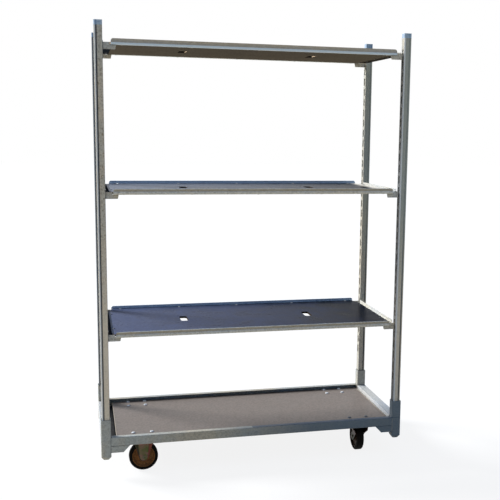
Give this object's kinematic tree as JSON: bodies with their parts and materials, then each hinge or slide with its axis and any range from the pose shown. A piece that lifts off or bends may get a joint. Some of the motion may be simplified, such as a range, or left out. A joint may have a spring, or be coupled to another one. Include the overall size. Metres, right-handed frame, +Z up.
{
  "type": "danish trolley",
  "caption": "Rolling steel plant trolley: slotted posts standing in a castor base carry hook-on plywood shelves that lift and hang again at other heights.",
  "frame": {"origin": "on the floor under the middle of the base", "axes": "+X along the length towards the swivel castors, -Y the front, +Z up"},
  "size_m": [1.35, 0.565, 1.9],
  "materials": {
    "galvanised_steel": "hot-dip galvanised, spangled",
    "castor_zinc": "passivated zinc, iridescent",
    "zinc_fasteners": "bright zinc",
    "rivet_aluminium": "satin",
    "film_plywood": "dark phenolic film, semi-gloss",
    "tyre_rubber": "matte",
    "wheel_plastic": "satin moulded",
    "bearing_steel": "ground"
  },
  "bodies": {
    "base": {"deck_board": "film_plywood", "front_rail": "galvanised_steel", "rear_rail": "galvanised_steel", "left_end_rail": "galvanised_steel", "right_end_rail": "galvanised_steel", "corner_gussets": "galvanised_steel", "castor_bolts": "zinc_fasteners", "castor_nuts": "zinc_fasteners", "fixed_fork_front": "castor_zinc", "fixed_fork_rear": "castor_zinc", "fixed_axles": "zinc_fasteners", "swivel_plates": "castor_zinc", "kingpins": "zinc_fasteners", "socket_front_left": "galvanised_steel", "socket_rear_left": "galvanised_steel", "socket_front_right": "galvanised_steel", "socket_rear_right": "galvanised_steel", "swivel_balls": "bearing_steel"},
    "front_right_swivel": {"swivel_fork_front": "castor_zinc", "swivel_axle_front": "zinc_fasteners"},
    "rear_right_swivel": {"swivel_fork_rear": "castor_zinc", "swivel_axle_rear": "zinc_fasteners"},
    "front_left_wheel": {"tyre_front_left": "tyre_rubber", "wheel_core_front_left": "wheel_plastic", "wheel_bush_front_left": "bearing_steel"},
    "front_left_post": {"post_front_left": "galvanised_steel"},
    "rear_left_wheel": {"tyre_rear_left": "tyre_rubber", "wheel_core_rear_left": "wheel_plastic", "wheel_bush_rear_left": "bearing_steel"},
    "rear_left_post": {"post_rear_left": "galvanised_steel"},
    "front_right_wheel": {"tyre_front_right": "tyre_rubber", "wheel_core_front_right": "wheel_plastic", "wheel_bush_front_right": "bearing_steel"},
    "front_right_post": {"post_front_right": "galvanised_steel"},
    "rear_right_wheel": {"tyre_rear_right": "tyre_rubber", "wheel_core_rear_right": "wheel_plastic", "wheel_bush_rear_right": "bearing_steel"},
    "rear_right_post": {"post_rear_right": "galvanised_steel"},
    "lower_shelf": {"lower_shelf_panel": "film_plywood", "lower_shelf_front_rim": "galvanised_steel", "lower_shelf_rear_rim": "galvanised_steel", "lower_shelf_left_end": "galvanised_steel", "lower_shelf_right_end": "galvanised_steel", "lower_shelf_hooks": "galvanised_steel", "lower_shelf_rivets": "rivet_aluminium"},
    "middle_shelf": {"middle_shelf_panel": "film_plywood", "middle_shelf_front_rim": "galvanised_steel", "middle_shelf_rear_rim": "galvanised_steel", "middle_shelf_left_end": "galvanised_steel", "middle_shelf_right_end": "galvanised_steel", "middle_shelf_hooks": "galvanised_steel", "middle_shelf_rivets": "rivet_aluminium"},
    "upper_shelf": {"upper_shelf_panel": "film_plywood", "upper_shelf_front_rim": "galvanised_steel", "upper_shelf_rear_rim": "galvanised_steel", "upper_shelf_left_end": "galvanised_steel", "upper_shelf_right_end": "galvanised_steel", "upper_shelf_hooks": "galvanised_steel", "upper_shelf_rivets": "rivet_aluminium"}
  },
  "joints": [
    {"name": "front_left_wheel_roll", "type": "hinge", "parent": "base", "child": "front_left_wheel", "pos_m": [-0.495, -0.222, 0.0625], "axis": [0, 1, 0], "continuous": true},
    {"name": "rear_left_wheel_roll", "type": "hinge", "parent": "base", "child": "rear_left_wheel", "pos_m": [-0.495, 0.222, 0.0625], "axis": [0, 1, 0], "continuous": true},
    {"name": "front_right_castor_swivel", "type": "hinge", "parent": "base", "child": "front_right_swivel", "pos_m": [0.495, -0.222, 0.13], "axis": [0, 0, 1], "continuous": true},
    {"name": "front_right_wheel_roll", "type": "hinge", "parent": "front_right_swivel", "child": "front_right_wheel", "pos_m": [0.495, -0.187, 0.0625], "axis": [1, 0, 0], "continuous": true},
    {"name": "rear_right_castor_swivel", "type": "hinge", "parent": "base", "child": "rear_right_swivel", "pos_m": [0.495, 0.222, 0.13], "axis": [0, 0, 1], "continuous": true},
    {"name": "rear_right_wheel_roll", "type": "hinge", "parent": "rear_right_swivel", "child": "rear_right_wheel", "pos_m": [0.495, 0.187, 0.0625], "axis": [1, 0, 0], "continuous": true},
    {"name": "front_left_post_lift", "type": "slide", "parent": "base", "child": "front_left_post", "axis": [0, 0, 1], "range_m": [0, 0.12]},
    {"name": "rear_left_post_lift", "type": "slide", "parent": "base", "child": "rear_left_post", "axis": [0, 0, 1], "range_m": [0, 0.12]},
    {"name": "front_right_post_lift", "type": "slide", "parent": "base", "child": "front_right_post", "axis": [0, 0, 1], "range_m": [0, 0.12]},
    {"name": "rear_right_post_lift", "type": "slide", "parent": "base", "child": "rear_right_post", "axis": [0, 0, 1], "range_m": [0, 0.12]},
    {"name": "lower_shelf_lift", "type": "slide", "parent": "front_left_post", "child": "lower_shelf", "axis": [0, 0, 1], "range_m": [0, 0.017]},
    {"name": "middle_shelf_lift", "type": "slide", "parent": "front_left_post", "child": "middle_shelf", "axis": [0, 0, 1], "range_m": [0, 0.017]},
    {"name": "upper_shelf_lift", "type": "slide", "parent": "front_left_post", "child": "upper_shelf", "axis": [0, 0, 1], "range_m": [0, 0.017]}
  ],
  "couplings": [
    {"joint": "rear_left_post_lift", "follows": "front_left_post_lift", "ratio": 1},
    {"joint": "front_right_post_lift", "follows": "front_left_post_lift", "ratio": 1},
    {"joint": "rear_right_post_lift", "follows": "front_left_post_lift", "ratio": 1}
  ]
}
